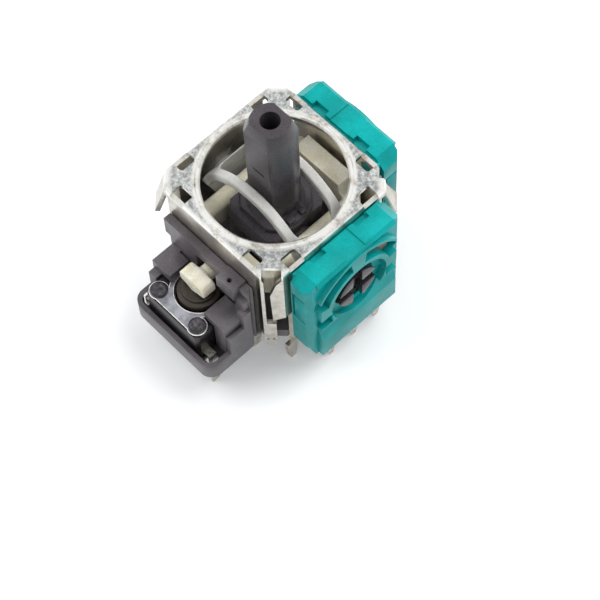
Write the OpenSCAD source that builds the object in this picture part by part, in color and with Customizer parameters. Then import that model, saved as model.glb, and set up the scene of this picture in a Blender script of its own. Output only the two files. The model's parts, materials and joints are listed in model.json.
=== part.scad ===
// Two-axis thumb lever module with a press switch, standing on its board terminals.
// Origin: on the lever's axis, in the plane where the plastic base meets the circuit board.
// The front sensor is on +X, the rear sensor on +Y, and the press switch on -Y.

/* [Tilt axes] */
// Height of both tilt axes above the board
axis_z = 5.6; // [5.4:0.1:5.8]
// Running clearance on the radius of each journal
run_gap = 0.05; // [0.02:0.01:0.09]
// Clearance between pieces that pass each other
pass_gap = 0.3; // [0.2:0.05:0.35]
// Clearance between pieces that are put together without moving
fit_gap = 0.05; // [0.02:0.01:0.1]

/* [Cover] */
// Outer width of the square cover
cover_w = 13.2; // [13:0.1:13.6]
// Thickness of the sheet metal
sheet = 0.4; // [0.3:0.05:0.45]
// Height of the cover's top above the board
cover_top = 11; // [10.8:0.1:11.4]
// Radius of the round opening
opening_r = 5.67; // [5.4:0.05:5.75]
// Width of the raised bead round the opening
bead_w = 0.45; // [0.3:0.05:0.55]
// Height of the bead above the plate
bead_h = 0.12; // [0.08:0.02:0.2]
// Cut across each corner, along the side
corner_cut = 1.25; // [1:0.05:1.4]
// Distance of each bend relief from the middle of its side
relief_pos = 3.87; // [3.6:0.01:4]
// Length of a bend relief
relief_len = 1.46; // [1.2:0.01:1.5]
// Depth of a bend relief, from the outer face
relief_depth = 1.2; // [1:0.01:1.24]
// Drop of the wall's cut edge in a bend relief
relief_drop = 0.38; // [0.2:0.01:0.6]
// Height of the corner flanges, from the cover's top
flange_h = 3.5; // [3:0.1:3.8]
// Spread of the corner flanges at their lower edge
flare = 0.9; // [0.5:0.05:1]
// Height of the walls' lower edge
wall_low = 0.3; // [0.25:0.01:0.4]
// Width of a board leg
leg_w = 1; // [0.7:0.05:1]
// Distance of each board leg from the middle of its side
leg_pos = 4.8; // [4.6:0.05:4.85]
// Length of legs and terminals below the board plane
reach = 3; // [2.5:0.1:4]
// Width of the dimpled corner foot
foot_w = 1; // [0.9:0.05:1]
// Width of the tabs that are folded under the base
tab_w = 2.4; // [1.6:0.1:3]

/* [Lever] */
// Diameter of the lever's post
post_d = 4; // [3.6:0.05:4]
// Distance across the post's two flats, where the thumb cap grips
flats_w = 3.1; // [3.05:0.05:3.4]
// Distance across the flats below that, in the guide slot
waist_w = 3; // [2.8:0.05:3]
// Height of the lower edge of the cap's grip
grip_low = 13.6; // [13:0.1:15]
// Height of the post's top above the board
post_top = 19; // [16:0.5:24]
// Width of the bevel round the post's top
post_bevel = 0.45; // [0.2:0.05:0.5]
// Height of that bevel
post_bevel_h = 1.2; // [0.4:0.05:1.4]
// Diameter of the blind hole in the post
post_hole_d = 1.56; // [1:0.02:1.8]
// Depth of the blind hole
post_hole_depth = 3; // [1:0.5:5]
// Length of the hub, along Y
hub_y = 7; // [6:0.1:7.2]
// Height of the hub above the tilt axes
hub_up = 2; // [1.6:0.1:2.1]
// Depth of the hub below the tilt axes
hub_down = 1.5; // [1.2:0.1:1.6]
// Radius of the round collar on the hub
collar_r = 2.85; // [2.4:0.05:2.9]
// Thickness of the collar
collar_t = 0.6; // [0.4:0.05:0.8]
// Depth of the lever's foot below the tilt axes
heel_drop = 2.6; // [2.4:0.05:2.7]
// Radius of the lever's foot
heel_r = 1; // [0.8:0.05:1.1]
// Radius of the lever's side trunnions
trunnion_r = 0.9; // [0.6:0.05:1]

/* [Arch] */
// Thickness of the arch
arch_t = 0.8; // [0.7:0.05:0.85]
// Width of the arch
arch_w = 5.3; // [5:0.1:5.5]
// Solid length of the arch beyond each end of the guide slot, along X
slot_end = 1.05; // [1:0.01:1.2]
// Radius of the guide slot's corners
slot_corner = 1; // [0.6:0.05:1.2]
// Clearance on each side of the post in the guide slot
slot_gap = 0.34; // [0.33:0.01:0.4]
// Depth of the flat face on each end of the arch
arch_flat = 0.2; // [0.15:0.05:0.25]
// Thickness of the end plates
arch_end_t = 0.8; // [0.7:0.05:0.85]
// Radius of the journals
journal_r = 1.2; // [1:0.05:1.3]
// Width of the flat key on a journal's end
key_w = 2; // [1.6:0.1:2.2]
// Thickness of the flat key
key_t = 0.8; // [0.6:0.05:1]

/* [Rocker] */
// Width of the rocker's side bars
bar_w = 1.5; // [1.3:0.05:1.55]
// Room between the side bars and the arch's end plates
swing_gap = 0.45; // [0.4:0.05:0.6]
// Height of the side bars above the axis
bar_up = 1.4; // [1.3:0.05:1.45]
// Depth of the side bars below the axis
bar_down = 1.2; // [1.1:0.05:1.3]
// Half length of the rocker's window
window_y = 4.3; // [4.2:0.05:4.4]
// Outer face of the block at the rear end
rear_block_y = 5.9; // [5.8:0.05:5.95]
// Outer face of the block at the switch end
front_block_y = 5.1; // [4.95:0.05:5.15]
// Half width of the raised rear step
step_half = 2.5; // [2:0.1:2.8]
// Height of the raised rear step above the axis
step_up = 2.3; // [2:0.1:2.4]
// Radius of the journal on the switch side
front_journal_r = 0.9; // [0.75:0.05:0.95]
// Radius of the fan's lower edge about the axis
fan_r = 0.85; // [0.6:0.05:0.9]
// Width of the fan's head
fan_w = 2.8; // [2.6:0.1:3.2]
// Height of the fan's head above the axis
fan_up = 0.75; // [0.5:0.05:0.85]
// Radius of the arm between the journal and the fan
arm_r = 0.7; // [0.5:0.05:0.8]
// Thickness of the fan
fan_t = 1.3; // [1:0.05:1.4]

/* [Sensor] */
// Front face of a sensor, from the middle of the module
pot_face = 9.2; // [9.15:0.05:9.4]
// Gap between the cover's wall and the sensor's shoulder
pot_step = 0.25; // [0.2:0.05:0.35]
// Half width of the sensor
pot_half = 4.9; // [4.8:0.05:5.1]
// Top of the sensor above the board
pot_top = 10.75; // [10.65:0.05:11.2]
// Bevel of the sensor's upper corners and front edges
pot_bevel = 0.9; // [0.6:0.05:1]
// Depth of the recess in the sensor's front
pot_relief = 0.45; // [0.3:0.05:0.5]
// Radius of the raised disc on the front
disc_r = 4.85; // [4.75:0.05:4.9]
// Outer radius of the two arc windows
arc_out = 4.6; // [4.4:0.05:4.65]
// Inner radius of the two arc windows
arc_in = 3.35; // [3.3:0.05:3.6]
// Radius of the recess round the rotor
well_r = 2.9; // [2.7:0.05:3]
// Radius of the rotor
rotor_r = 1.95; // [1.8:0.05:2]
// Thickness of the resistive card
card_t = 0.25; // [0.2:0.05:0.3]
// Spacing of the sensor's terminals
pitch = 2.5; // [2.4:0.1:2.6]
// Width of a terminal
pin_w = 0.8; // [0.6:0.05:0.9]
// Thickness of a terminal
pin_t = 0.25; // [0.2:0.05:0.3]

/* [Switch] */
// Side of the square switch body
sw_w = 6; // [5.9:0.05:6.1]
// Middle of the switch, in front of the lever's axis
sw_y = 8.4; // [8.35:0.01:8.6]
// Height of the switch body's underside
sw_floor = 0.5; // [0.4:0.05:0.55]
// Height of the switch body without its cover
sw_h = 3.3; // [3.1:0.05:3.4]
// Thickness of the switch's cover plate
plate_t = 0.2; // [0.15:0.05:0.3]
// Distance of each stake from the sides of the switch body
stake_edge = 0.8; // [0.75:0.05:0.9]
// Radius of a stake's melted head
stake_r = 0.68; // [0.6:0.02:0.72]
// Width of the switch body outside its plunger
plunger_edge = 1.25; // [1.2:0.05:1.4]
// Travel of the plunger
travel = 0.25; // [0.15:0.05:0.3]
// Thickness of the switch's terminals
lead_t = 0.2; // [0.15:0.05:0.25]

/* [Base] */
// Thickness of the base under the lever
base_t = 1; // [0.9:0.05:1.1]
// Outer radius of the centring seat
seat_r = 2.4; // [2.2:0.05:2.4]
// Thickness of the centring seat
seat_t = 0.35; // [0.3:0.05:0.4]
// Diameter of the return spring's wire
coil_wire = 0.3; // [0.2:0.01:0.34]
// Number of turns of the return spring
coil_turns = 3.5; // [2.5:0.5:3.5]
// Depth of the holder in front of the switch body
front_margin = 0.6; // [0.5:0.05:1]
// Width of the holder to the left of the switch body
left_margin = 1.2; // [1.15:0.05:1.6]
// Width of the holder to the right of the switch body
right_margin = 1.9; // [1.85:0.05:2.2]
// Thickness of the holder's walls
holder_t = 0.4; // [0.3:0.05:0.45]
// Height of the holder's front rim
rim_top = 1.8; // [1.2:0.1:2.4]
// Height of the holder's bar along the cover
bar_top = 8; // [7.6:0.1:8.4]
// Thickness of the bar along the cover
bar_t = 0.7; // [0.5:0.05:0.9]
// Height of the clamp over the switch above its cover plate
clamp_t = 0.8; // [0.5:0.1:1.2]
// Reach of each clamp over the switch
clamp_reach = 0.95; // [0.6:0.05:1]

/* [Hidden] */
$fn = 64;
cut = 0.01;
far = 40;

// Cover
half = cover_w / 2;
inner = half - sheet;
plate_low = cover_top - sheet;
side_half = half - corner_cut;
corner_reach = (cover_w - corner_cut) / sqrt(2);
corner_width = corner_cut * sqrt(2);
fold_r = sheet + 0.05;
flange_low = cover_top - flange_h;
foot_low = wall_low;
foot_high = wall_low + 3.1;
dimple_r = 0.12;
dimple_side = 0.24;
dimple_t = 0.15;
dimple_z = 0.4;
slot_r = front_journal_r + 2 * run_gap;
slot_drop = travel + 0.1;
relief_r = 0.25;
strap_in = 0.62;
face_low = 3.8;
face_high = 4.4;
foot_side = corner_width / 2 - foot_w / 2;
slit_w = 0.3;
tab_reach = 1.2;
tab_low = 0.02;
peg_r = 0.5;
peg_pos = 3.6;
peg_z = cover_top - 1.3;

// Lever, arch and rocker, inward from the arch
arch_r = inner - pass_gap;
arch_end = arch_r - arch_flat;
slot_half = arch_r - slot_end;
bar_out = arch_end - arch_end_t - swing_gap;
window_x = bar_out - bar_w;
hub_x = 2 * (window_x - pass_gap);
fan_side = 0.34;

// Lever and its seat
mark_r = 1.5;
mark_t = 0.15;
heel_z = axis_z - heel_drop;
seat_top = heel_z - pass_gap;
seat_low = base_t + 0.1;
well_floor = base_t / 2;
spring_top = seat_top - 0.5;
hub_top = axis_z + hub_up;

// Sensor, outward from the cover's wall
pot_back = half + pot_step;
pot_front = pot_face - pot_relief;
plate_half = pot_half - pot_bevel;
key_end = half + 1.4;
card_back = pot_front - pot_relief - card_t;
card_front = card_back + card_t;
pin_front = card_front + pin_t;
card_half = pot_half - 1.05;
card_r = disc_r - 0.25;
card_low = 0.6;
cavity_gap = 0.1;
ledge_z = axis_z - 0.4;
slot_in = 2.85;
slot_out = 4.1;
slot_h = 1.25;
notch_in = 1.55;
notch_out = 2.95;
notch_depth = 0.5;
notch_reach = 0.45;
well_depth = 0.2;
latch_low = axis_z - 0.7;
latch_high = axis_z + 2.6;
latch_slit = 0.16;
latch_depth = 0.35;
disc_low = axis_z - 1.8;
slope_low = axis_z - 3.5;
pot_low = -0.35;
foot_step_z = 0.5;
foot_step = 0.6;
wiper_t = 0.15;
wiper_c = half + 0.9;

// Switch and its holder
holder_front = sw_y + sw_w / 2 + front_margin;
holder_left = sw_w / 2 + left_margin;
holder_right = sw_w / 2 + right_margin;
sw_top = sw_floor + sw_h;
plate_top = sw_top + plate_t;
stake_pos = sw_w / 2 - stake_edge;
plunger_r = sw_w / 2 - plunger_edge;
plunger_top = axis_z - fan_r - run_gap;
plunger_low = sw_floor + 2.05;
dome_low = sw_floor + 0.9;
lobe_r = stake_edge - 0.02;
stake_hole_r = 0.52;
dome_r = plunger_r - 0.1;
dome_h = plunger_low - dome_low - 0.04;
lead_x = sw_w / 2 + 0.7;
lead_y = 2.25;
lead_z = sw_floor + 0.7;
lead_w = 0.7;

// Places the front sensor's pieces: across, up and outward become Y, Z and X
module at_front() {
    rotate([90, 0, 90]) children();
}

// Places the rear sensor's pieces, a quarter turn from the front ones
module at_rear() {
    rotate([0, 0, 90]) at_front() children();
}

// A box given by its lowest and highest corner
module box(low, high) {
    translate(low) cube(high - low);
}

// Square outline with its corners cut
function cut_square(h, c) = [
    [h - c, -h], [h, c - h], [h, h - c], [h - c, h], [c - h, h], [-h, h - c], [-h, c - h], [c - h, -h]
];

// Waste outside a rounded edge that runs along Y at the right and top of its own frame
module edge_waste(length, r) {
    translate([-r, 0, -r]) difference() {
        translate([0, -length / 2, 0]) cube([r + 1, length, r + 1]);
        rotate([90, 0, 0]) cylinder(r = r, h = length + 2, center = true);
    }
}

// Rectangle with round corners, from its two half widths
module round_rectangle(x, y, r) {
    square([2 * x, 2 * (y - r)], center = true);
    square([2 * (x - r), 2 * y], center = true);
    for (side = [-1, 1], end = [-1, 1]) translate([side * (x - r), end * (y - r)]) circle(r = r);
}

// The folded sheet before anything is cut out of it
module folded_sheet() {
    inner_cut = corner_cut - sheet * (2 - sqrt(2));
    difference() {
        translate([0, 0, wall_low]) linear_extrude(cover_top - wall_low)
            polygon(cut_square(half, corner_cut));
        translate([0, 0, wall_low - 1]) linear_extrude(plate_low - wall_low + 1)
            polygon(cut_square(inner, inner_cut));
        for (turn = [0:90:270]) rotate(turn) translate([half, 0, cover_top]) edge_waste(cover_w, fold_r);
        for (turn = [45:90:315]) rotate(turn) translate([corner_reach, 0, cover_top])
            edge_waste(2 * corner_width, fold_r);
    }
}

// The eight reliefs beside the folds
module bend_reliefs() {
    for (turn = [0:90:270], side = [-1, 1]) rotate(turn) translate([half, side * relief_pos, 0]) {
        translate([0, 0, plate_low - 0.6]) linear_extrude(far) intersection() {
            round_rectangle(relief_depth, relief_len / 2, relief_r);
            translate([-far, -far / 2]) square([far - sheet, far]);
        }
        box([-sheet - cut, -relief_len / 2, cover_top - relief_drop], [1, relief_len / 2, cover_top + 1]);
    }
}

// Outlines in a corner's own face: across it to the right, and up
keyhole = [
    [-strap_in, foot_high - 0.1], [-strap_in, cover_top - 1.1], [-0.75, cover_top - 0.8],
    [-0.75, cover_top + 1], [0.75, cover_top + 1], [0.75, cover_top - 0.8], [0.3, cover_top - 1.5],
    [-0.2, cover_top - 3.2], [-0.1, face_low], [-0.1, foot_high - 0.1]
];
below_face = [
    [foot_w - corner_width / 2, wall_low - 1], [foot_w - corner_width / 2, foot_high - 0.1],
    [-0.2, foot_high - 0.1], [-0.2, face_low], [corner_width / 2 + 0.05, face_high],
    [corner_width, face_high], [corner_width, wall_low - 1]
];

// Places an upright outline in the face of corner k, and gives it a depth
module in_corner(k, from, to) {
    rotate(90 * k - 45) translate([corner_reach + from, 0, 0]) rotate([90, 0, 90])
        linear_extrude(to - from) children();
}

// Cuts that free the corners' flanges and the strap with the foot
module corner_cuts() {
    in_corner(0, -0.9, 1) translate([-corner_width / 2 - slit_w, wall_low - 1])
        square([slit_w, plate_low - wall_low + 0.5]);
    for (k = [1:3]) in_corner(k, -0.9, 1) translate([-corner_width / 2 - slit_w, wall_low - 1])
        square([corner_width + 2 * slit_w, plate_low - wall_low + 0.5]);
    // notch across the fold beside the rear sensor
    in_corner(1, -0.5, 1) translate([0.1, plate_low - 1.2]) square([corner_width, 3]);
    // keyhole and slit in the corner between the front sensor and the switch
    in_corner(0, -0.7, 1) polygon(keyhole);
    in_corner(0, -0.7, 1) polygon(below_face);
}

// Flange that spreads outward below a corner's fold, with its side view drawn from the fold down
module corner_flange(k, outline) {
    in_fold = corner_reach - sheet;
    intersection() {
        rotate(90 * k - 45) rotate([90, 0, 0]) linear_extrude(2 * corner_width, center = true)
            polygon([[in_fold, plate_low + 0.1], [corner_reach - 0.12, cover_top - 0.15],
                     [corner_reach, plate_low - 0.1], [corner_reach + flare, flange_low],
                     [corner_reach + flare - sheet, flange_low], [in_fold, plate_low - 0.2]]);
        in_corner(k, -1, 2) polygon(outline);
    }
}

// Board legs below the walls beside the front sensor and opposite it
module board_legs() {
    for (turn = [0, 180], side = [-1, 1])
        rotate(turn) translate([half - sheet, side * leg_pos, 0]) rotate([90, 0, 90])
            linear_extrude(sheet)
                polygon([[-leg_w / 2, wall_low + 0.5], [-leg_w / 2, -reach + 1.4], [-leg_w / 4, -reach],
                         [leg_w / 4, -reach], [leg_w / 2, -reach + 1.4], [leg_w / 2, wall_low + 0.5]]);
}

// Tabs folded under the base on three sides
module fold_tabs(grow) {
    for (turn = [0, 90, 180]) rotate(turn) {
        box([inner - tab_reach - grow, -tab_w / 2 - grow, tab_low - grow],
            [half, tab_w / 2 + grow, tab_low + sheet + grow]);
        box([inner, -tab_w / 2, tab_low], [half, tab_w / 2, wall_low + 0.5]);
    }
}

module frame_cover() {
    whole = [[-corner_width / 2, flange_low], [corner_width / 2, flange_low],
             [corner_width / 2, cover_top], [-corner_width / 2, cover_top]];
    slanted = [[-corner_width / 2, flange_low], [corner_width / 2, flange_low],
               [0, cover_top - 0.8], [0, cover_top], [-corner_width / 2, cover_top]];
    color("#d9dad4") union() {
        corner_flange(1, slanted);
        corner_flange(2, whole);
        corner_flange(3, whole);
        cut_cover();
    }
}

// The folded sheet with its legs, tabs and foot, and everything that is cut out of it
module cut_cover() {
    difference() {
        union() {
            folded_sheet();
            translate([0, 0, cover_top - cut]) rotate_extrude()
                translate([opening_r, 0])
                    polygon([[0, 0], [bead_w, 0], [bead_w - bead_h, bead_h], [bead_h, bead_h]]);
            board_legs();
            fold_tabs(0);
            // round end of the dimpled foot
            in_corner(0, -sheet, 0) translate([-foot_side, foot_low]) circle(r = foot_w / 2);
        }
        translate([0, 0, plate_low - 1]) cylinder(r = opening_r, h = 3);
        bend_reliefs();
        corner_cuts();
        // two dimples in the foot
        for (side = [-1, 1]) in_corner(0, -dimple_t, 1)
            translate([side * dimple_side - foot_side, foot_low + dimple_z]) circle(r = dimple_r);
        // journal holes
        for (turn = [0, 90, 180]) rotate(turn) translate([0, 0, axis_z]) rotate([0, 90, 0])
            cylinder(r = journal_r + run_gap, h = far);
        // slot for the journal that the press lowers
        for (drop = [0, slot_drop]) translate([0, 0, axis_z - drop]) rotate([90, 0, 0])
            cylinder(r = slot_r, h = far);
        box([-slot_r, -far, axis_z - slot_drop], [slot_r, 0, axis_z]);
        // opening for the switch
        box([-lead_x - pass_gap, -far, wall_low - 1], [lead_x + pass_gap, 0, plate_top + 0.6]);
        // holes for the sensors' pegs
        for (across = [-peg_pos, peg_pos]) {
            at_front() translate([across, peg_z, 0]) cylinder(r = peg_r + fit_gap, h = far);
            at_rear() translate([across, peg_z, 0]) cylinder(r = peg_r + fit_gap, h = far);
        }
    }
}

// Outline of the holder with round front corners, drawn in from its edges
module holder_outline(inset, back, corner) {
    left = holder_left - inset;
    right = holder_right - inset;
    front = holder_front - inset;
    polygon([[-left, -back], [-left, corner - front], [corner - left, -front], [right - corner, -front],
             [right, corner - front], [right, -back]]);
    for (x = [corner - left, right - corner]) translate([x, corner - front]) circle(r = corner);
}

// Holder round the switch, outside the cover
module switch_holder() {
    back = half + fit_gap;
    reach_x = sw_w / 2 - clamp_reach;
    side_x = sw_w / 2 + 0.15;
    clamp_low = plate_top + fit_gap;
    clamp_top = plate_top + clamp_t;
    arm_half = front_journal_r + pass_gap;
    corner = 1.1;
    linear_extrude(sw_floor) holder_outline(0, back, corner);
    // rim along the front and the two sides
    linear_extrude(rim_top) difference() {
        holder_outline(0, back, corner);
        holder_outline(holder_t, 0, corner - holder_t);
    }
    // side walls and the clamps that hold the switch down
    box([holder_right - holder_t, -sw_y - 1.3, 0], [holder_right, -back, clamp_top - 0.9]);
    box([side_x, -sw_y - 1.3, 0], [holder_right - holder_t - 0.1, -sw_y + 0.9, clamp_top]);
    box([reach_x, -sw_y - 1.3, clamp_low], [side_x + cut, -sw_y + 0.9, clamp_top]);
    box([-holder_left + 0.1, -sw_y - 1.1, 0], [-side_x, -sw_y + 0.9, clamp_top + 0.2]);
    box([-side_x - cut, -sw_y - 1.1, clamp_low], [-reach_x, -sw_y + 0.9, clamp_top + 0.2]);
    box([-holder_left + 0.2, -sw_y - 1.7, 0], [-side_x, -sw_y - 1.1 + cut, plate_top]);
    // bar along the cover, with a notch for the rocker's arm
    difference() {
        box([-holder_left - 0.6, -back - bar_t, plate_top + 0.4], [holder_right, -back, bar_top]);
        box([-arm_half, -far, 0], [arm_half, 0, axis_z + arm_half]);
        box([-far, -far, 0], [-holder_left - 0.05, 0, bar_top - 2]);
    }
    for (ends = [[-holder_left, -side_x - 0.9], [side_x + 0.9, holder_right]])
        box([ends[0], -back - bar_t, 0], [ends[1], -back, plate_top + 0.4 + cut]);
    // bridges from the clamps to the bar
    box([side_x, -sw_y + 0.9 - cut, sw_top], [holder_right - 0.5, -back - cut, clamp_top]);
    box([-holder_left + 0.1, -sw_y + 0.9 - cut, sw_top], [-side_x, -back - cut, clamp_top + 0.2]);
    // square lug with a small hole
    difference() {
        box([1.85, -back - 1.35, axis_z + 1.2], [3.75, -back, bar_top + 0.25]);
        translate([2.85, -back - 0.85, bar_top - 0.4]) cylinder(r = 0.2, h = 2);
    }
    // steps beside the lug
    box([3.75 - cut, -back - 1.1, axis_z], [holder_right - 0.3, -back, bar_top - 1]);
    box([holder_right - 0.7, -back - 1.5, sw_floor], [holder_right, -back, axis_z + 0.2]);
}

module base_moulding() {
    edge = inner - fit_gap;
    tongue = lead_x + 0.15;
    color("#645e64") difference() {
        union() {
            linear_extrude(base_t) polygon(cut_square(edge, corner_cut));
            // guide round the centring seat
            cylinder(r = seat_r + 0.65, h = base_t + 0.7);
            // tongue through the cover's opening
            box([-tongue, -half - 0.2, 0], [tongue, -inner + 1, sw_floor]);
            switch_holder();
        }
        translate([0, 0, well_floor]) cylinder(r = seat_r + 0.25, h = far);
        // seat of the switch body
        box([-sw_w / 2 - fit_gap, -sw_y - sw_w / 2 - fit_gap, sw_floor],
            [sw_w / 2 + fit_gap, -sw_y + sw_w / 2 + fit_gap, plate_top]);
        fold_tabs(fit_gap);
        // passages for the switch's leads
        for (side = [-1, 1], end = [-1, 1])
            translate([side * lead_x, -sw_y + end * lead_y, -1])
                box([-0.55, -lead_w / 2 - 0.12, 0], [0.3, lead_w / 2 + 0.12, sw_floor + 2.2]);
        // room for the corner foot
        rotate(-45)
            box([corner_reach - sheet - 0.2, -corner_width, -1], [corner_reach + 1.2, corner_width, far]);
    }
}

module stick() {
    post_r = post_d / 2;
    flat_bevel = post_bevel * 2 / 3;
    color("#565056") difference() {
        union() {
            intersection() {
                rotate_extrude() polygon([[0, axis_z], [post_r, axis_z], [post_r, post_top - post_bevel_h],
                                          [post_r - post_bevel, post_top], [0, post_top]]);
                rotate([90, 0, 90]) linear_extrude(post_d + 2, center = true)
                    polygon([[-waist_w / 2, 0], [waist_w / 2, 0], [waist_w / 2, grip_low],
                             [flats_w / 2, grip_low + 0.1], [flats_w / 2, post_top - post_bevel_h],
                             [flats_w / 2 - flat_bevel, post_top], [flat_bevel - flats_w / 2, post_top],
                             [-flats_w / 2, post_top - post_bevel_h], [-flats_w / 2, grip_low + 0.1],
                             [-waist_w / 2, grip_low]]);
            }
            // hub with cut edges
            intersection() {
                translate([-hub_x / 2, 0, 0]) rotate([90, 0, 90]) linear_extrude(hub_x)
                    polygon([[-hub_y / 2 + 0.9, axis_z - hub_down], [hub_y / 2 - 0.9, axis_z - hub_down],
                             [hub_y / 2, axis_z - hub_down + 0.9], [hub_y / 2, hub_top - 0.5],
                             [hub_y / 2 - 0.5, hub_top], [0.5 - hub_y / 2, hub_top],
                             [-hub_y / 2, hub_top - 0.5], [-hub_y / 2, axis_z - hub_down + 0.9]]);
                linear_extrude(far) polygon([[-hub_x / 2, -hub_y / 2 + 1.1], [1.1 - hub_x / 2, -hub_y / 2],
                                             [hub_x / 2 - 1.1, -hub_y / 2], [hub_x / 2, -hub_y / 2 + 1.1],
                                             [hub_x / 2, hub_y / 2 - 1.1], [hub_x / 2 - 1.1, hub_y / 2],
                                             [1.1 - hub_x / 2, hub_y / 2], [-hub_x / 2, hub_y / 2 - 1.1]]);
            }
            // collar, with a cone up to the post
            intersection() {
                rotate_extrude() polygon([[0, hub_top - cut], [collar_r, hub_top - cut],
                                          [collar_r, hub_top + collar_t - 0.15],
                                          [collar_r - 0.15, hub_top + collar_t], [2.3, hub_top + collar_t],
                                          [1.5, hub_top + collar_t + 0.9], [0, hub_top + collar_t + 0.9]]);
                box([-far, -flats_w / 2 - 0.9, 0], [far, flats_w / 2 + 0.9, far]);
            }
            // two lugs on the collar's right side
            for (side = [-1, 1]) translate([collar_r - 0.75, side * 0.65 - 0.3, hub_top + collar_t - cut])
                cube([0.5, 0.6, 0.3]);
            // foot on the centring seat
            translate([0, 0, heel_z]) cylinder(r = heel_r, h = heel_drop);
            // trunnions in the rocker's side bars
            translate([0, 0, axis_z]) rotate([0, 90, 0])
                cylinder(r = trunnion_r, h = 2 * bar_out - 0.5, center = true);
        }
        translate([0, 0, post_top - post_hole_depth]) cylinder(d = post_hole_d, h = post_hole_depth + 1);
        // shallow mark in each flat
        for (side = [-1, 1]) translate([0, side * (waist_w / 2 + mark_r - mark_t), grip_low - 0.15])
            cylinder(r = mark_r, h = 0.4);
    }
}

// Flat key on a journal's end, from the wall outward
module key_blade(from, to) {
    translate([-key_w / 2, axis_z - key_t / 2, from]) cube([key_w, key_t, to - from]);
}

module arch_lever() {
    slot_side = waist_w / 2 + slot_gap;
    color("#c9c9c6") difference() {
        union() {
            intersection() {
                // side view: arch between two end plates
                rotate([90, 0, 0]) linear_extrude(arch_w + 2, center = true)
                translate([0, axis_z]) difference() {
                    intersection() {
                        circle(r = arch_r);
                        translate([-arch_end, -1.9]) square([2 * arch_end, arch_r + 3]);
                    }
                    intersection() {
                        circle(r = arch_r - arch_t);
                        translate([arch_end_t - arch_end, -3])
                            square([2 * (arch_end - arch_end_t), arch_r + 3]);
                    }
                }
                // end view: rounded foot below, full width above
                rotate([90, 0, 90]) linear_extrude(2 * arch_end + 2, center = true)
                translate([0, axis_z]) union() {
                    circle(r = 1.9);
                    polygon([[-arch_w / 2, arch_r + 1], [-arch_w / 2, 1.6], [-1.75, -0.75], [1.75, -0.75],
                             [arch_w / 2, 1.6], [arch_w / 2, arch_r + 1]]);
                }
            }
            for (side = [-1, 1]) scale([side, 1, 1]) translate([arch_end - 0.3, 0, axis_z]) rotate([0, 90, 0])
                cylinder(r = journal_r, h = half + 0.25 - arch_end + 0.3);
            at_front() key_blade(half, key_end);
        }
        // guide slot with round corners
        translate([0, 0, axis_z + 1]) linear_extrude(far) round_rectangle(slot_half, slot_side, slot_corner);
    }
}

module rocker_lever() {
    top_r = bar_w / 2;
    color("#c8c3a5") difference() {
        union() {
            // side bars with rounded tops
            for (side = [-1, 1]) translate([side * (window_x + top_r), 0, axis_z]) rotate([90, 0, 0])
                linear_extrude(2 * window_y + 0.2, center = true) {
                    translate([0, bar_up - top_r]) circle(r = top_r);
                    translate([-top_r, -bar_down]) square([bar_w, bar_up + bar_down - top_r]);
                }
            // blocks across both ends
            difference() {
                box([-bar_out, -front_block_y, axis_z - bar_down],
                    [bar_out, rear_block_y, axis_z + bar_up - 0.2]);
                box([-far, -window_y, 0], [far, window_y, far]);
                for (side = [-1, 1]) translate([side * bar_out, rear_block_y, 0]) rotate(45)
                    cube([1.6, 1.6, far], center = true);
                for (side = [-1, 1]) translate([side * bar_out, -front_block_y, 0]) rotate(45)
                    cube([0.8, 0.8, far], center = true);
            }
            box([-step_half, window_y, axis_z], [step_half, rear_block_y, axis_z + step_up]);
            // journals and the key in the rear rotor
            translate([0, rear_block_y - 0.3, axis_z]) rotate([-90, 0, 0])
                cylinder(r = journal_r, h = half + 0.25 - rear_block_y + 0.3);
            at_rear() key_blade(half, key_end);
            translate([0, -front_block_y + 0.3, axis_z]) rotate([90, 0, 0])
                cylinder(r = front_journal_r, h = half + 0.2 - front_block_y + 0.3);
            translate([0, -half, axis_z]) rotate([90, 0, 0]) cylinder(r = arm_r, h = sw_y - half);
            // fan over the switch
            translate([0, -sw_y, axis_z]) rotate([90, 0, 0]) linear_extrude(fan_t, center = true) {
                circle(r = fan_r);
                polygon([[-fan_w / 2 + 0.3, fan_up], [-fan_w / 2, fan_up - 0.3], [-fan_w / 2, -fan_side],
                         [-1.2, -fan_side - 0.13], [-0.7, -fan_side - 0.26], [0.7, -fan_side - 0.26],
                         [1.2, -fan_side - 0.13], [fan_w / 2, -fan_side], [fan_w / 2, fan_up - 0.3],
                         [fan_w / 2 - 0.3, fan_up]]);
            }
        }
        // bores for the lever's trunnions
        translate([0, 0, axis_z]) rotate([0, 90, 0])
            cylinder(r = trunnion_r + run_gap, h = 2 * bar_out + 2, center = true);
    }
}

module centring_seat() {
    color("#8f8b84") difference() {
        translate([0, 0, seat_low]) cylinder(r = seat_r, h = seat_top - seat_low);
        translate([0, 0, seat_low - 1]) cylinder(r = seat_r - seat_t, h = spring_top - seat_low + 1);
    }
}

// Helix of the return spring as rings of points round its wire
module return_spring() {
    sides = 8;
    steps = 22;
    rings = coil_turns * steps;
    radius = seat_r - seat_t - 0.13 - coil_wire / 2;
    low = well_floor + coil_wire / 2;
    high = spring_top - coil_wire / 2;
    points = [for (i = [0:rings], k = [0:sides - 1])
        let (turn = 360 * i / steps, around = 360 * k / sides, out = radius + cos(around) * coil_wire / 2)
        [out * cos(turn), out * sin(turn), low + (high - low) * i / rings + sin(around) * coil_wire / 2]];
    faces = concat(
        [[for (k = [0:sides - 1]) k]],
        [for (i = [0:rings - 1], k = [0:sides - 1])
            let (next = (k + 1) % sides)
            [i * sides + next, i * sides + k, (i + 1) * sides + k]],
        [for (i = [0:rings - 1], k = [0:sides - 1])
            let (next = (k + 1) % sides)
            [i * sides + next, (i + 1) * sides + k, (i + 1) * sides + next]],
        [[for (k = [sides - 1:-1:0]) rings * sides + k]]);
    color("#b9bcc0") polyhedron(points, faces, convexity = 8);
}

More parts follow.
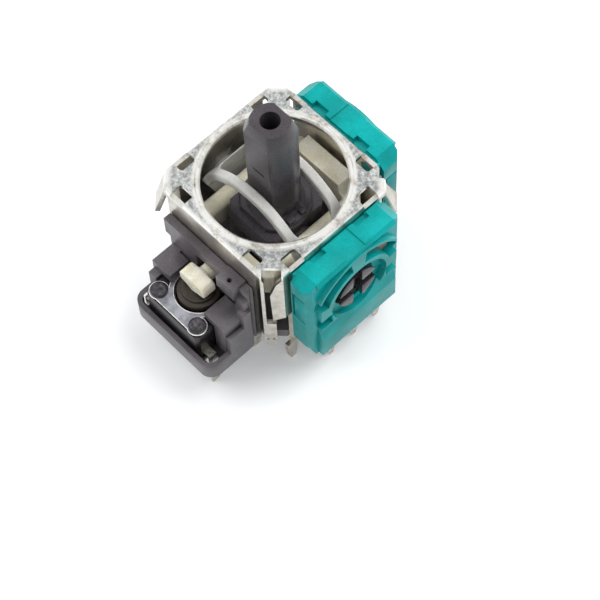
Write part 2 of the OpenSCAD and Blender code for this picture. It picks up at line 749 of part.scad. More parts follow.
// Outline of the sensor seen from the front
pot_outline = [
    [-pot_half + foot_step, pot_low], [pot_half - foot_step, pot_low], [pot_half - foot_step, foot_step_z],
    [pot_half, foot_step_z + foot_step], [pot_half, pot_top - pot_bevel], [pot_half - pot_bevel, pot_top],
    [pot_bevel - pot_half, pot_top], [-pot_half, pot_top - pot_bevel], [-pot_half, foot_step_z + foot_step],
    [foot_step - pot_half, foot_step_z]
];

// Sector of a ring between two angles
module ring_sector(r_in, r_out, from, to) {
    difference() {
        intersection() {
            circle(r = r_out);
            polygon([[0, 0], for (a = [from, (from + to) / 2, to]) 2 * r_out * [cos(a), sin(a)]]);
        }
        circle(r = r_in);
    }
}

// Card outline, grown by a clearance for the cavity that holds it
module card_outline(grow) {
    intersection() {
        union() {
            translate([0, axis_z]) circle(r = card_r + grow);
            translate([-card_half - grow, card_low - grow])
                square([2 * (card_half + grow), axis_z - card_low]);
        }
        translate([-card_half - grow, 0]) square([2 * (card_half + grow), pot_top]);
    }
}

module pot_housing() {
    difference() {
        union() {
            intersection() {
                translate([0, 0, pot_back]) linear_extrude(pot_front - pot_back) polygon(pot_outline);
                // front edges beveled from top to bottom
                rotate([-90, 0, 0]) translate([0, 0, -1]) linear_extrude(pot_top + 2)
                    polygon([[-pot_half, -half], [pot_half, -half], [pot_half, -pot_face + pot_bevel],
                             [plate_half, -pot_face], [-plate_half, -pot_face],
                             [-pot_half, -pot_face + pot_bevel]]);
            }
            // rear rim that meets the cover's wall
            box([-peg_pos - 0.9, foot_step_z + foot_step, half + fit_gap],
                [peg_pos + 0.9, peg_z + 0.7, pot_back + cut]);
            for (across = [-peg_pos, peg_pos]) translate([across, peg_z, inner])
                cylinder(r = peg_r, h = 1);
            // raised disc and the plate that it stands on
            translate([0, 0, pot_front - cut]) linear_extrude(pot_relief + cut) intersection() {
                union() {
                    translate([0, axis_z]) circle(r = disc_r);
                    translate([-plate_half, disc_low]) square([2 * plate_half, axis_z - disc_low]);
                }
                translate([-plate_half, disc_low]) square([2 * plate_half, far]);
            }
            // lower plate with its slope
            translate([-plate_half, 0, 0]) rotate([90, 0, 90]) linear_extrude(2 * plate_half)
                polygon([[pot_low, pot_front - cut], [disc_low, pot_front - cut],
                         [disc_low, pot_front + 0.02], [slope_low, pot_face], [pot_low, pot_face]]);
            // brow above the disc
            translate([-plate_half, 0, 0]) rotate([90, 0, 90]) linear_extrude(2 * plate_half)
                polygon([[pot_top, pot_front - cut], [pot_top - 0.25, pot_front + 0.3],
                         [pot_top - 0.9, pot_front - cut]]);
        }
        // cavity for the card, its terminals and the wiper, open to the wall
        translate([0, 0, half - 1]) linear_extrude(card_front + 1 - half) card_outline(cavity_gap);
        for (n = [-1, 0, 1]) box([n * pitch - pin_w / 2 - 0.06, pot_low - 1, card_front - cut],
                                 [n * pitch + pin_w / 2 + 0.06, slope_low, pin_front + 0.06]);
        // step round the lower part
        for (side = [-1, 1]) scale([side, 1, 1])
            box([pot_half - foot_step, pot_low - 1, 0], [far, foot_step_z, far]);
        // hole and recess for the rotor
        translate([0, axis_z, half]) cylinder(r = rotor_r + 0.08, h = far);
        translate([0, axis_z, pot_front - well_depth]) cylinder(r = well_r, h = far);
        translate([0, axis_z, 0]) {
            // arc windows that show the card
            for (span = [[100, 163], [14, 80]])
                translate([0, 0, card_front - cut]) linear_extrude(far)
                    ring_sector(arc_in, arc_out, span[0], span[1]);
        }
        // small windows under the ledge
        for (side = [-1, 1]) scale([side, 1, 1])
            box([slot_in, ledge_z - slot_h, pot_front - well_depth], [slot_out, ledge_z, far]);
        // shallow band and two notches in the top
        box([-1, pot_top - 0.12, 0], [1, far, far]);
        for (side = [-1, 1]) scale([side, 1, 1])
            box([notch_in, pot_top - notch_depth, 0], [notch_out, far, pot_back + notch_reach]);
        // latch tongue in the side
        for (level = [latch_low, latch_high])
            box([-far, level, pot_back + 0.35],
                [latch_depth - pot_half, level + latch_slit, pot_face - pot_bevel]);
        box([-far, latch_low, pot_back + 0.1],
            [latch_depth - pot_half, latch_high + latch_slit, pot_back + 0.36]);
    }
}

module front_pot_housing() {
    color("#0cb6b0") at_front() pot_housing();
}

module rear_pot_housing() {
    color("#0cb6b0") at_rear() pot_housing();
}

module rotor() {
    key_gap = 0.07;
    difference() {
        translate([0, axis_z, pot_back + 0.1]) cylinder(r = rotor_r, h = pot_front + 0.2 - pot_back);
        box([-key_w / 2 - key_gap, axis_z - key_t / 2 - key_gap, 0],
            [key_w / 2 + key_gap, axis_z + key_t / 2 + key_gap, key_end + 0.1]);
        // cross slot in the outer end
        for (turn = [0, 90]) translate([0, axis_z, pot_front - 0.6]) rotate(turn)
            translate([-far / 2, -0.45, 0]) cube([far, 0.9, far]);
    }
}

module front_rotor() {
    color("#4a444c") at_front() rotor();
}

module rear_rotor() {
    color("#4a444c") at_rear() rotor();
}

// Sprung ring with two wiping fingers
module wiper() {
    translate([0, axis_z, wiper_c]) {
        linear_extrude(wiper_t) {
            difference() {
                circle(r = rotor_r + 0.6);
                circle(r = rotor_r);
            }
            for (turn = [90, 270]) rotate(turn) {
                translate([rotor_r + 0.3, -0.3]) square([card_half - rotor_r - 0.6, 0.6]);
                ring_sector(card_half - 0.9, card_half - 0.3, -6, 30);
            }
        }
        // contact points that reach to just short of the card
        for (turn = [90, 270]) rotate(turn + 24) translate([card_half - 0.6, 0, 0])
            cylinder(r = 0.18, h = card_back - wiper_c - 0.06);
    }
}

module front_wiper() {
    color("#c8a860") at_front() wiper();
}

module rear_wiper() {
    color("#c8a860") at_rear() wiper();
}

module track_card() {
    translate([0, 0, card_back]) linear_extrude(card_t) difference() {
        card_outline(0);
        translate([0, axis_z]) circle(r = rotor_r + 0.15);
    }
}

module front_track_card() {
    color("#c9a89a") at_front() track_card();
}

module rear_track_card() {
    color("#c9a89a") at_rear() track_card();
}

// Terminal of a sensor at place n of -1, 0 and 1
module pot_terminal(n) {
    color("#c9ccc9") translate([n * pitch, 0, card_front]) linear_extrude(pin_t)
        polygon([[-pin_w / 2, slope_low - fit_gap], [-pin_w / 2, pin_w - reach], [-pin_w / 4, -reach],
                 [pin_w / 4, -reach], [pin_w / 2, pin_w - reach], [pin_w / 2, slope_low - fit_gap]]);
}

module front_terminal_1() {
    at_front() pot_terminal(-1);
}

module front_terminal_2() {
    at_front() pot_terminal(0);
}

module front_terminal_3() {
    at_front() pot_terminal(1);
}

module rear_terminal_1() {
    at_rear() pot_terminal(-1);
}

module rear_terminal_2() {
    at_rear() pot_terminal(0);
}

module rear_terminal_3() {
    at_rear() pot_terminal(1);
}

module switch_body() {
    h = sw_w / 2;
    color("#1d1b1d") translate([0, -sw_y, 0]) difference() {
        union() {
            translate([0, 0, sw_floor]) linear_extrude(sw_h) polygon(cut_square(h, 0.3));
            for (x = [-1, 1], y = [-1, 1]) translate([x * stake_pos, y * stake_pos, sw_top]) {
                cylinder(r = stake_hole_r - 0.02, h = plate_t);
                translate([0, 0, plate_t]) cylinder(r = stake_r, h = 0.22);
            }
        }
        translate([0, 0, dome_low]) cylinder(r = plunger_r + 0.1, h = far);
        // slots of the four leads
        for (x = [-1, 1], y = [-1, 1]) translate([x * h, y * lead_y, lead_z])
            box([-0.3, -lead_w / 2 - 0.02, -lead_t / 2 - 0.02], [0.3, lead_w / 2 + 0.02, lead_t / 2 + 0.02]);
    }
}

module switch_cover() {
    color("#c4c4cc") translate([0, -sw_y, sw_top]) linear_extrude(plate_t) difference() {
        union() {
            circle(r = plunger_r + 0.6);
            for (y = [-stake_pos, stake_pos]) translate([0, y])
                square([2 * stake_pos, 2 * lobe_r - 0.2], center = true);
            for (x = [-stake_pos, stake_pos], y = [-stake_pos, stake_pos]) translate([x, y])
                circle(r = lobe_r);
        }
        circle(r = plunger_r + 0.25);
        for (x = [-stake_pos, stake_pos], y = [-stake_pos, stake_pos]) translate([x, y])
            circle(r = stake_hole_r);
    }
}

module switch_button() {
    color("#4b443a") translate([0, -sw_y, plunger_low]) {
        cylinder(r = plunger_r, h = plunger_top - plunger_low - 0.3);
        cylinder(r = plunger_r - 0.35, h = plunger_top - plunger_low);
    }
}

module snap_dome() {
    ball = (dome_r * dome_r + dome_h * dome_h) / (2 * dome_h);
    color("#c9c9c9") translate([0, -sw_y, dome_low]) intersection() {
        translate([0, 0, dome_h - ball]) difference() {
            sphere(r = ball);
            sphere(r = ball - 0.1);
        }
        cylinder(r = dome_r, h = 3);
    }
}

// Lead of the switch: out of the body's side, then down through the board
module switch_lead(side, end) {
    color("#c9ccc9") translate([0, -sw_y + end * lead_y, 0]) scale([side, 1, 1]) {
        box([sw_w / 2 - 0.28, -lead_w / 2, lead_z - lead_t / 2],
            [lead_x + lead_t / 2, lead_w / 2, lead_z + lead_t / 2]);
        box([lead_x - lead_t / 2, -lead_w / 2, -reach],
            [lead_x + lead_t / 2, lead_w / 2, lead_z + lead_t / 2]);
    }
}

module switch_terminal_1() {
    switch_lead(-1, -1);
}

module switch_terminal_2() {
    switch_lead(1, -1);
}

module switch_terminal_3() {
    switch_lead(-1, 1);
}

module switch_terminal_4() {
    switch_lead(1, 1);
}

frame_cover();
base_moulding();
stick();
arch_lever();
rocker_lever();
centring_seat();
return_spring();
front_pot_housing();
rear_pot_housing();
front_rotor();
rear_rotor();
front_wiper();
rear_wiper();
front_track_card();
rear_track_card();
front_terminal_1();
front_terminal_2();
front_terminal_3();
rear_terminal_1();
rear_terminal_2();
rear_terminal_3();
switch_body();
switch_cover();
switch_button();
snap_dome();
switch_terminal_1();
switch_terminal_2();
switch_terminal_3();
switch_terminal_4();
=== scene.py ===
# Looks of a two-axis thumb lever module with a press switch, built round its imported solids.
import json
import math
import bmesh
import bpy
from mathutils import Matrix, Vector, noise

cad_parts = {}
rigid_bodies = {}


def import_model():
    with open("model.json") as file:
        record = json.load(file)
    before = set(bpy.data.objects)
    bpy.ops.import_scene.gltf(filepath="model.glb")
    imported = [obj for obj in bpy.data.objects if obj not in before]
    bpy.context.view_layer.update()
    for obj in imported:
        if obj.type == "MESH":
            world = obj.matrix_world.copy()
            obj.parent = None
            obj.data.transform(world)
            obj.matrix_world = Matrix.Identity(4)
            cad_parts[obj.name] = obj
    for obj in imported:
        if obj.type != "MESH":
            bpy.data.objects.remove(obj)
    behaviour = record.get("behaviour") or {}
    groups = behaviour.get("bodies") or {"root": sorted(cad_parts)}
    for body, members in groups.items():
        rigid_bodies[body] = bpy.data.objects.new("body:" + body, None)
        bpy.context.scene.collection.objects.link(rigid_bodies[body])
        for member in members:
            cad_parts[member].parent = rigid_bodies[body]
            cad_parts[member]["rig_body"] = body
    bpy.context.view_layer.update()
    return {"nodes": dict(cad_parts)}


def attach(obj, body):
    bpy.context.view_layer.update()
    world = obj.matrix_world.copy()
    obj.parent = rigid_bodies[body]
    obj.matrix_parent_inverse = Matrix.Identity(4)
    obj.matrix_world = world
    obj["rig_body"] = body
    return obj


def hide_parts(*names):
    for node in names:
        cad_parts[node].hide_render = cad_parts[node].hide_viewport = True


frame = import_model()
MM = 0.001
# places on the module in mm, in the CAD's frame
COVER_TOP = 11.0
FOLD_LOW, FOLD_HIGH = COVER_TOP - 0.8, COVER_TOP - 0.1
LEG_TIP = -3
SWITCH_Y = -8.4
PLATE_TOP = 4.0
STAKE_POS = 2.2
# corners of a mesh closer than this in mm are one, and faces within this angle are one plane
SAME_PLACE = 0.0005
SAME_PLANE = 0.6
# edges sharper than the first angle are rounded, and those sharper than the second stay crisp in the shading
BEVEL_ANGLE = 38
BEVEL_STEPS = 2
CRISP_ANGLE = 42
BEAD_CRISP_ANGLE = 60
# most of a noise pattern lies between these values
NOISE_LOW, NOISE_HIGH = 0.3, 0.7
# share of the slow clouds in a plastic's tint, beside its fine grain
CLOUD_SHARE = 0.65
# a face with more corners than this, and at least this many mm2, is a flat wall with openings
WALL_CORNERS = 8
WALL_AREA = 1.5
BODY_OF = {node: obj["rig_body"] for node, obj in frame["nodes"].items()}


def colour(code):
    """Linear colour of an sRGB hex code."""
    parts = [int(code[i:i + 2], 16) / 255 for i in (1, 3, 5)]
    return tuple(c / 12.92 if c <= 0.04045 else ((c + 0.055) / 1.055) ** 2.4 for c in parts) + (1.0,)


def put(tree, kind, inputs=None, **settings):
    """Adds a node: settings are its own properties, inputs are values or sockets to link."""
    node = tree.nodes.new(kind)
    for name, value in settings.items():
        setattr(node, name, value)
    for name, value in (inputs or {}).items():
        if isinstance(value, bpy.types.NodeSocket):
            tree.links.new(value, node.inputs[name])
        else:
            node.inputs[name].default_value = value
    return node


def maths(tree, operation, *values):
    """Result of one sum on numbers or sockets."""
    return put(tree, "ShaderNodeMath", dict(enumerate(values)), operation=operation).outputs[0]


def spread(tree, value, low, high):
    """A value from 0 to 1 spread between two numbers."""
    return put(tree, "ShaderNodeMapRange", {"Value": value, "To Min": low, "To Max": high}).outputs["Result"]


def ramp(tree, fac, stops):
    """Colour ramp through the given (place, hex) stops."""
    node = put(tree, "ShaderNodeValToRGB", {"Fac": fac})
    while len(node.color_ramp.elements) < len(stops):
        node.color_ramp.elements.new(0.5)
    for element, (place, code) in zip(node.color_ramp.elements, stops):
        element.position = place
        element.color = colour(code)
    return node.outputs["Color"]


def blend(tree, factor, first, second):
    """Colour that goes from the first to the second as the factor goes from 0 to 1."""
    mix = put(tree, "ShaderNodeMix", {"Factor": factor}, data_type="RGBA")
    sockets = [socket for socket in mix.inputs if socket.type == "RGBA"]
    tree.links.new(first, sockets[0])
    tree.links.new(second, sockets[1])
    return [socket for socket in mix.outputs if socket.type == "RGBA"][0]


def cloudy(tree, place, size_mm, **rest):
    """Noise pattern with lumps of a size in mm."""
    noisy = put(tree, "ShaderNodeTexNoise", {"Vector": place, "Scale": 1 / (size_mm * MM), **rest})
    return noisy.outputs["Fac"]


def blank_material(name):
    """A material with only its output and shader, and the object coordinates to draw in."""
    material = bpy.data.materials.new(name)
    material.use_nodes = True
    tree = material.node_tree
    tree.nodes.clear()
    shader = put(tree, "ShaderNodeBsdfPrincipled")
    put(tree, "ShaderNodeOutputMaterial", {"Surface": shader.outputs["BSDF"]})
    place = put(tree, "ShaderNodeTexCoord").outputs["Object"]
    return material, tree, shader, place


def relief(tree, shader, height, depth_mm):
    """Bump of a height pattern that runs from 0 to 1, with its real depth."""
    bump = put(tree, "ShaderNodeBump", {"Height": height, "Distance": depth_mm * MM})
    tree.links.new(bump.outputs["Normal"], shader.inputs["Normal"])


def uneven_gloss(tree, shader, pattern, low, high):
    """Roughness that goes from low to high over the middle of a noise pattern."""
    gloss = put(tree, "ShaderNodeMapRange", {"Value": pattern, "From Min": NOISE_LOW, "From Max": NOISE_HIGH,
                                             "To Min": low, "To Max": high})
    tree.links.new(gloss.outputs["Result"], shader.inputs["Roughness"])


def moulded(name, dark, mid, light, roughness, grain_mm=0.12, cloud_mm=2.5, depth_mm=0.003, soft=0.0,
            scatter=(1.0, 0.9, 0.7), shine=0.5):
    """Injection-moulded plastic: slow colour drift from flow, and a fine eroded grain from the mould."""
    material, tree, shader, place = blank_material(name)
    cloud = cloudy(tree, place, cloud_mm, Detail=3)
    grain = cloudy(tree, place, grain_mm, Detail=3, Roughness=0.6)
    both = maths(tree, "MULTIPLY_ADD", cloud, CLOUD_SHARE, maths(tree, "MULTIPLY", grain, 1 - CLOUD_SHARE))
    tree.links.new(ramp(tree, both, [(0.4, dark), (0.5, mid), (0.6, light)]), shader.inputs["Base Color"])
    uneven_gloss(tree, shader, grain, roughness - 0.05, roughness + 0.07)
    shader.inputs["Specular IOR Level"].default_value = shine
    if soft:
        # light goes half a millimetre into thin natural plastic
        shader.inputs["Subsurface Weight"].default_value = soft
        shader.inputs["Subsurface Radius"].default_value = scatter
        shader.inputs["Subsurface Scale"].default_value = 0.5 * MM
    relief(tree, shader, grain, depth_mm)
    return material


def tin(name, light, mid, dark, roughness, grain_mm=0.25, depth_mm=0.004):
    """Bright metal sheet: soft reflections broken by the rolling grain and by handling."""
    material, tree, shader, place = blank_material(name)
    shader.inputs["Metallic"].default_value = 1.0
    blotch = cloudy(tree, place, grain_mm, Detail=5, Roughness=0.65)
    tree.links.new(ramp(tree, blotch, [(0.35, dark), (0.47, mid), (0.6, light)]), shader.inputs["Base Color"])
    uneven_gloss(tree, shader, blotch, roughness + 0.1, roughness - 0.05)
    relief(tree, shader, blotch, depth_mm)
    return material


def edge_of(tree, value, low_mm, high_mm):
    """0 to 1 as a length in metres goes from the first to the second size in mm."""
    span = put(tree, "ShaderNodeMapRange", {"Value": value, "From Min": low_mm * MM,
                                            "From Max": high_mm * MM})
    return span.outputs["Result"]


def cover_tinplate():
    """Tinplate of the cover: near white on its top, with painted shade making the walls below the fold darker
    and warmer, and stippled grey fields at its four corners.
    """
    material, tree, shader, place = blank_material("tinplate_cover")
    shader.inputs["Metallic"].default_value = 1.0
    parts = put(tree, "ShaderNodeSeparateXYZ", {0: place})
    across, along = (maths(tree, "ABSOLUTE", parts.outputs[axis]) for axis in "XY")
    total = maths(tree, "ADD", across, along)
    larger = maths(tree, "MAXIMUM", across, along)
    flat = put(tree, "ShaderNodeCombineXYZ", {"X": parts.outputs["X"], "Y": parts.outputs["Y"]})
    radius = put(tree, "ShaderNodeVectorMath", {0: flat.outputs[0]}, operation="LENGTH").outputs["Value"]
    # the stippled field lies outside the bead, inside the folded sides and short of the corner
    field = edge_of(tree, radius, 6.2, 6.4)
    for value, low, high in ((larger, 6.55, 6.2), (total, 11.5, 10.9),
                             (parts.outputs["Z"], FOLD_HIGH, FOLD_HIGH + 0.05)):
        field = maths(tree, "MULTIPLY", field, edge_of(tree, value, low, high))
    # stipple of about 0.3 mm, and slow clouds of handling over all of the sheet
    stipple = cloudy(tree, place, 0.3, Detail=5, Roughness=0.75)
    handling = cloudy(tree, place, 1.1, Detail=6, Roughness=0.7)
    sheet = ramp(tree, handling, [(0.34, "#B3ADA2"), (0.43, "#E2DFD7"), (0.53, "#F7F6F2")])
    mottle = ramp(tree, stipple, [(0.36, "#8C9192"), (0.5, "#C0C3C1"), (0.64, "#EDEEEB")])
    # painted shade: below the fold the walls are painted darker and warmer than the top
    painted_shade_wall = ramp(tree, handling, [(0.32, "#ABA69B"), (0.48, "#C2BDB3"), (0.64, "#D3CFC6")])
    sheet_with_painted_shade = blend(tree, edge_of(tree, parts.outputs["Z"], FOLD_LOW, FOLD_HIGH), painted_shade_wall, sheet)
    tree.links.new(blend(tree, field, sheet_with_painted_shade, mottle), shader.inputs["Base Color"])
    tree.links.new(spread(tree, field, 0.3, 0.46), shader.inputs["Roughness"])
    deep = maths(tree, "MULTIPLY", stipple, field)
    relief(tree, shader, maths(tree, "MULTIPLY_ADD", handling, 0.4, deep), 0.008)
    return material


# Tinplate: near white with a soft broken mirror, painted shade on the walls below the fold, and frosted grey
# corner fields
COVER = cover_tinplate()
# Tinned legs and terminals: the same tin, duller and greyer from the shears
LEGS = tin("tinned_legs", "#D6D2CA", "#BDB8AE", "#A19B90", 0.34)
# Stainless steel of the switch plate and the springs: a cool, even satin
PLATE = tin("satin_steel_plate", "#B9BAC2", "#A4A5AE", "#8D8F99", 0.4, 0.9, 0.002)
# Bare steel on the sheared rim: a thin bright line round the plate
BURR = tin("sheared_edge", "#FFFFFF", "#F2F2EF", "#C9C9C6", 0.25, 0.3)
# Phosphor bronze of the wipers: a warm glint deep in the sensors
BRASS = tin("wiper_alloy", "#E6CF9A", "#D2B778", "#A98E55", 0.3, 0.3)
# PBT of the lever: dark grey with a violet cast, and a smooth satin shine
LEVER = moulded("lever_pbt", "#343034", "#3C373C", "#444045", 0.3, depth_mm=0.001)
# The same plastic in the base: lighter and duller, with a coarser skin
HOLDER = moulded("base_pbt", "#4E4A4E", "#5C575B", "#686367", 0.36, depth_mm=0.005)
# Green PBT of the sensors: one strong flat colour with a weak shine
GREEN = moulded("sensor_pbt", "#008987", "#009694", "#00A2A2", 0.34, depth_mm=0.004, shine=0.2)
# Black PBT of the rotors: nearly black, with a tight highlight on the cross slots
ROTOR = moulded("rotor_pbt", "#1C171C", "#272126", "#342E34", 0.22)
# Acetal of the rocker: cream, and a little lit from inside
CREAM = moulded("rocker_acetal", "#E2DCC2", "#EEE9D6", "#F6F3E4", 0.26, cloud_mm=1.6, soft=0.25,
                scatter=(1.0, 0.75, 0.4))
# Natural nylon of the arch: milky grey-white and glossy
NATURAL = moulded("arch_nylon", "#B9B9B5", "#C5C5C1", "#D0D0CC", 0.2, cloud_mm=1.8, depth_mm=0.001, soft=0.3)
# Acetal of the hidden seat: a plain dull grey
SEAT = moulded("seat_acetal", "#6E6A64", "#7E7A73", "#8B8780", 0.4)
# Black PBT of the switch body: a dark block under the bright plate
BLACK = moulded("switch_pbt", "#121012", "#1A181A", "#242124", 0.3)
# The stakes' melted plastic: lumpy, with small bright spots on the lumps
MELT = moulded("melted_stake", "#262327", "#3A363B", "#57525A", 0.3, grain_mm=0.25, cloud_mm=0.4,
               depth_mm=0.03)
# Brown nylon of the plunger, as dull as rubber: a warm dark disc in the plate's hole
BROWN = moulded("plunger_rubber", "#2A241E", "#352E27", "#413930", 0.36, grain_mm=0.2)
# Paper laminate of the resistor cards: a pinkish tan behind the green windows
CARD = moulded("resistor_card", "#A98B7F", "#C4A698", "#D3BAAE", 0.36)

# nodes that aren't named here are tinned legs and terminals
FINISH = {
    "frame_cover": COVER, "base_moulding": HOLDER, "stick": LEVER, "arch_lever": NATURAL,
    "rocker_lever": CREAM, "centring_seat": SEAT, "return_spring": PLATE,
    "front_pot_housing": GREEN, "rear_pot_housing": GREEN, "front_rotor": ROTOR, "rear_rotor": ROTOR,
    "front_wiper": BRASS, "rear_wiper": BRASS, "front_track_card": CARD, "rear_track_card": CARD,
    "switch_body": BLACK, "switch_cover": PLATE, "switch_button": BROWN, "snap_dome": PLATE,
}
# width in mm of the small round that each moulded or sheared edge has
EASED = {
    "frame_cover": 0.05, "base_moulding": 0.07, "stick": 0.06, "front_pot_housing": 0.08,
    "rear_pot_housing": 0.08, "front_rotor": 0.08, "rear_rotor": 0.08, "switch_body": 0.06,
    "switch_button": 0.12,
}
# smoothing passes over an even skin of this step in mm, for the mouldings whose edges are all round
SOFTENED = {"arch_lever": 8, "rocker_lever": 8}
SKIN_STEP = 0.1


def smooth_by_angle(mesh, degrees):
    """Smooth faces but for the broad walls, with sharp edges where two faces meet at more than the angle."""
    work = bmesh.new()
    work.from_mesh(mesh)
    for face in work.faces:
        face.smooth = len(face.verts) <= WALL_CORNERS or face.calc_area() < WALL_AREA * MM * MM
    for edge in work.edges:
        edge.smooth = len(edge.link_faces) == 2 and edge.calc_face_angle() < math.radians(degrees)
    work.to_mesh(mesh)
    work.free()


def finished(obj, node_names, body, material):
    """Gives a piece its material and its body, and hides the nodes it stands for."""
    obj.data.materials.clear()
    obj.data.materials.append(material)
    if node_names:
        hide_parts(*node_names)
    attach(obj, body)


def as_object(name, data):
    """A new object in the scene, round a mesh, a camera or a lamp."""
    obj = bpy.data.objects.new(name, data)
    bpy.context.scene.collection.objects.link(obj)
    return obj


def applied(obj):
    """The object's mesh with its modifiers in it, as a new object with none."""
    mesh = bpy.data.meshes.new_from_object(obj.evaluated_get(bpy.context.evaluated_depsgraph_get()))
    name = obj.name
    bpy.data.objects.remove(obj)
    return as_object(name, mesh)


def eased(node, width_mm):
    """A copy of a CAD node with its sharp edges rounded."""
    work = bmesh.new()
    work.from_mesh(frame["nodes"][node].data)
    bmesh.ops.remove_doubles(work, verts=work.verts, dist=SAME_PLACE * MM)
    bmesh.ops.dissolve_limit(work, angle_limit=math.radians(SAME_PLANE), verts=work.verts, edges=work.edges)
    mesh = bpy.data.meshes.new(node + "_finished")
    work.to_mesh(mesh)
    work.free()
    obj = as_object(node + "_finished", mesh)
    bevel = obj.modifiers.new("edges", "BEVEL")
    bevel.width = width_mm * MM
    bevel.segments = BEVEL_STEPS
    bevel.limit_method = "ANGLE"
    bevel.angle_limit = math.radians(BEVEL_ANGLE)
    bevel.use_clamp_overlap = True
    obj = applied(obj)
    smooth_by_angle(obj.data, CRISP_ANGLE)
    finished(obj, [node], BODY_OF[node], FINISH[node])


def softened(node, passes):
    """A copy of a CAD node with every edge well rounded, as on thick acetal and nylon mouldings."""
    obj = as_object(node + "_finished", frame["nodes"][node].data.copy())
    skin = obj.modifiers.new("even_skin", "REMESH")
    skin.mode = "VOXEL"
    skin.voxel_size = SKIN_STEP * MM
    smooth = obj.modifiers.new("soft_edges", "SMOOTH")
    smooth.factor = 0.5
    smooth.iterations = passes
    obj = applied(obj)
    obj.data.shade_smooth()
    finished(obj, [node], BODY_OF[node], FINISH[node])


for name, width in EASED.items():
    eased(name, width)
for name, passes in SOFTENED.items():
    softened(name, passes)
for name, obj in frame["nodes"].items():
    if name not in EASED and name not in SOFTENED:
        obj.data.materials.clear()
        obj.data.materials.append(FINISH.get(name, LEGS))


# bead on the plate's rim: radius in mm, the part of it that is sunk in the sheet, and its sides
BEAD_RADIUS = 0.055
BEAD_SUNK = 0.4
BEAD_SIDES = 8
# corners this near in mm to a height lie on it
LEVEL_GAP = 0.01


def burr_tree():
    """Geometry Nodes tree that sweeps a small round bead along a path of edges."""
    tree = bpy.data.node_groups.new("burr_along_edges", "GeometryNodeTree")
    tree.interface.new_socket("Geometry", in_out="INPUT", socket_type="NodeSocketGeometry")
    tree.interface.new_socket("Bead radius", in_out="INPUT", socket_type="NodeSocketFloat")
    tree.interface.new_socket("Geometry", in_out="OUTPUT", socket_type="NodeSocketGeometry")
    entry = put(tree, "NodeGroupInput")
    path = put(tree, "GeometryNodeMeshToCurve", {"Mesh": entry.outputs["Geometry"]})
    ring = put(tree, "GeometryNodeCurvePrimitiveCircle", {"Resolution": BEAD_SIDES,
                                                          "Radius": entry.outputs["Bead radius"]})
    sweep = put(tree, "GeometryNodeCurveToMesh", {"Curve": path.outputs["Curve"],
                                                  "Profile Curve": ring.outputs["Curve"]})
    real = put(tree, "GeometryNodeRealizeInstances", {"Geometry": sweep.outputs["Mesh"]})
    paint = put(tree, "GeometryNodeSetMaterial", {"Geometry": real.outputs["Geometry"], "Material": BURR})
    put(tree, "NodeGroupOutput", {"Geometry": paint.outputs["Geometry"]})
    return tree


def sheared_rim(node, height_mm, radius_mm):
    """Bright bead on the sheared outline of a sheet's upper face."""
    work = bmesh.new()
    work.from_mesh(frame["nodes"][node].data)
    bmesh.ops.remove_doubles(work, verts=work.verts, dist=SAME_PLACE * MM)
    level = height_mm * MM
    top = {face for face in work.faces if all(abs(v.co.z - level) < LEVEL_GAP * MM for v in face.verts)}
    rim = [edge for edge in work.edges if sum(face in top for face in edge.link_faces) == 1]
    places = sorted({v.index for edge in rim for v in edge.verts})
    order = {old: new for new, old in enumerate(places)}
    work.verts.ensure_lookup_table()
    mesh = bpy.data.meshes.new("rim_path")
    mesh.from_pydata([work.verts[i].co - Vector((0, 0, radius_mm * BEAD_SUNK * MM)) for i in places],
                     [tuple(order[v.index] for v in edge.verts) for edge in rim], [])
    work.free()
    obj = as_object("plate_sheared_rim", mesh)
    tree = burr_tree()
    sweep = obj.modifiers.new("burr", "NODES")
    sweep.node_group = tree
    socket = [item for item in tree.interface.items_tree if item.name == "Bead radius"][0]
    sweep[socket.identifier] = radius_mm * MM
    obj = applied(obj)
    smooth_by_angle(obj.data, BEAD_CRISP_ANGLE)
    finished(obj, [], BODY_OF[node], BURR)


sheared_rim("switch_cover", PLATE_TOP, BEAD_RADIUS)

# melted head of a stake in mm: mean radius and height, and how far its lumps and fine skin change them
STAKE_RADIUS, RIM_LUMP = 0.7, 0.05
STAKE_HEIGHT, TOP_LUMP, TOP_FINE = 0.3, 0.09, 0.05
STAKE_LIFT = 0.02
# lumps and fine skin per radius of the head, and how far apart in the noise two stakes lie
LUMPS, FINES = 2.2, 6.0
LUMP_STEP, FINE_STEP = Vector((7.0, 0, 0)), Vector((0, 11.0, 0))
# below 1 for a flatter top with a steeper rim
FLATTER = 0.7


def melted_stake(number, x_mm, y_mm):
    """Slumped head of a heat-staked pin: a low dome with a lumpy skin and an uneven rim."""
    work = bmesh.new()
    bmesh.ops.create_icosphere(work, subdivisions=4, radius=1.0)
    for vert in work.verts:
        x, y, z = vert.co
        lump = noise.noise(vert.co * LUMPS + LUMP_STEP * number)
        fine = noise.noise(vert.co * FINES + FINE_STEP * number)
        wide = STAKE_RADIUS + RIM_LUMP * lump
        dome = STAKE_HEIGHT + TOP_LUMP * lump + TOP_FINE * fine
        squared = math.copysign(abs(z) ** FLATTER, z)
        vert.co = Vector((x_mm + x * wide, y_mm + y * wide, PLATE_TOP + STAKE_LIFT + squared * dome)) * MM
    mesh = bpy.data.meshes.new("stake")
    work.to_mesh(mesh)
    work.free()
    mesh.shade_smooth()
    finished(as_object("melted_stake_%d" % number, mesh), [], BODY_OF["switch_body"], MELT)


for number, (x, y) in enumerate([(-1, -1), (1, -1), (-1, 1), (1, 1)], 1):
    melted_stake(number, x * STAKE_POS, SWITCH_Y + y * STAKE_POS)

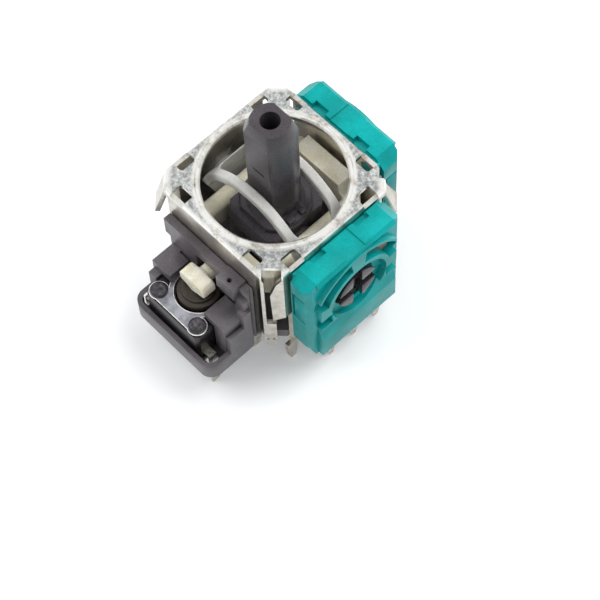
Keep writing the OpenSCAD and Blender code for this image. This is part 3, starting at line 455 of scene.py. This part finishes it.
# Camera at the photograph's angle, found from the module's own corners: angles in degrees, lengths in mm
AZIMUTH, ELEVATION, ROLL = (math.radians(a) for a in (49.18, 62.16, -3.27))
DISTANCE, SHIFT_X, SHIFT_Y, LOOK_HEIGHT = 152.32, -1.87, 7.82, 8
FOCAL_PX, PICTURE_PX, SENSOR_WIDTH = 1974.67, 600, 36
back = Vector((math.sin(AZIMUTH) * math.cos(ELEVATION), -math.cos(AZIMUTH) * math.cos(ELEVATION),
               math.sin(ELEVATION)))
level = Vector((math.cos(AZIMUTH), math.sin(AZIMUTH), 0))
upright = back.cross(level)
right = level * math.cos(ROLL) + upright * math.sin(ROLL)
up = upright * math.cos(ROLL) - level * math.sin(ROLL)
eye = (Vector((0, 0, LOOK_HEIGHT)) + back * DISTANCE - right * SHIFT_X - up * SHIFT_Y) * MM
camera_data = bpy.data.cameras.new("camera")
camera_data.sensor_width = SENSOR_WIDTH
camera_data.lens = SENSOR_WIDTH * FOCAL_PX / PICTURE_PX
camera_data.clip_start = 0.005
camera_data.clip_end = 5
camera = as_object("camera", camera_data)
camera.matrix_world = Matrix.Translation(eye) @ Matrix((right, up, back)).transposed().to_4x4()
bpy.context.scene.camera = camera


def seen_directly(tree):
    """1 for what the camera or a mirror-like surface sees, and 0 for light on the way to a dull surface."""
    path = put(tree, "ShaderNodeLightPath")
    return maths(tree, "MAXIMUM", path.outputs["Is Camera Ray"], path.outputs["Is Glossy Ray"])


# Floor that the board legs stand on: matt white paper that the module still shades
floor_mesh = bpy.data.meshes.new("floor")
REACH = 1.2
corners = ((-1, -1), (1, -1), (1, 1), (-1, 1))
floor_mesh.from_pydata([(x * REACH, y * REACH, LEG_TIP * MM) for x, y in corners], [], [(0, 1, 2, 3)])
floor = as_object("floor", floor_mesh)
floor_material = bpy.data.materials.new("floor_white")
floor_material.use_nodes = True
tree = floor_material.node_tree
tree.nodes.clear()
# its glow brings the shaded paper up to white
FLOOR_GLOW = 0.24
glow = maths(tree, "MULTIPLY", seen_directly(tree), FLOOR_GLOW)
paper = put(tree, "ShaderNodeBsdfDiffuse", {"Color": colour("#E0E2E4")})
light = put(tree, "ShaderNodeEmission", {"Color": colour("#FFFFFF"), "Strength": glow})
total = put(tree, "ShaderNodeAddShader", {0: paper.outputs[0], 1: light.outputs[0]})
put(tree, "ShaderNodeOutputMaterial", {"Surface": total.outputs[0]})
floor_mesh.materials.append(floor_material)

# World: even soft light on the module, and a white studio for its metal to mirror
world = bpy.data.worlds.new("studio")
bpy.context.scene.world = world
world.use_nodes = True
tree = world.node_tree
tree.nodes.clear()
SOFT_LIGHT, WHITE_STUDIO = 0.44, 0.97
strength = spread(tree, seen_directly(tree), SOFT_LIGHT, WHITE_STUDIO)
sky = put(tree, "ShaderNodeBackground", {"Color": colour("#FFFFFF"), "Strength": strength})
put(tree, "ShaderNodeOutputWorld", {"Surface": sky.outputs[0]})

# height in mm of the point that the lamps face
AIM_HEIGHT = 5


def lamp(name, place_mm, size_mm, watts):
    """Square soft lamp that looks at the module; the metal mirrors the white studio and not the lamp."""
    data = bpy.data.lights.new(name, "AREA")
    data.size = size_mm * MM
    data.energy = watts
    obj = as_object(name, data)
    obj.visible_glossy = False
    place = Vector(place_mm) * MM
    obj.location = place
    obj.rotation_euler = (place - Vector((0, 0, AIM_HEIGHT * MM))).to_track_quat("Z", "Y").to_euler()


lamp("key", (60, 220, 330), 320, 1.45)
lamp("fill", (-210, -150, 320), 300, 0.95)

bpy.context.scene.view_settings.view_transform = "Standard"
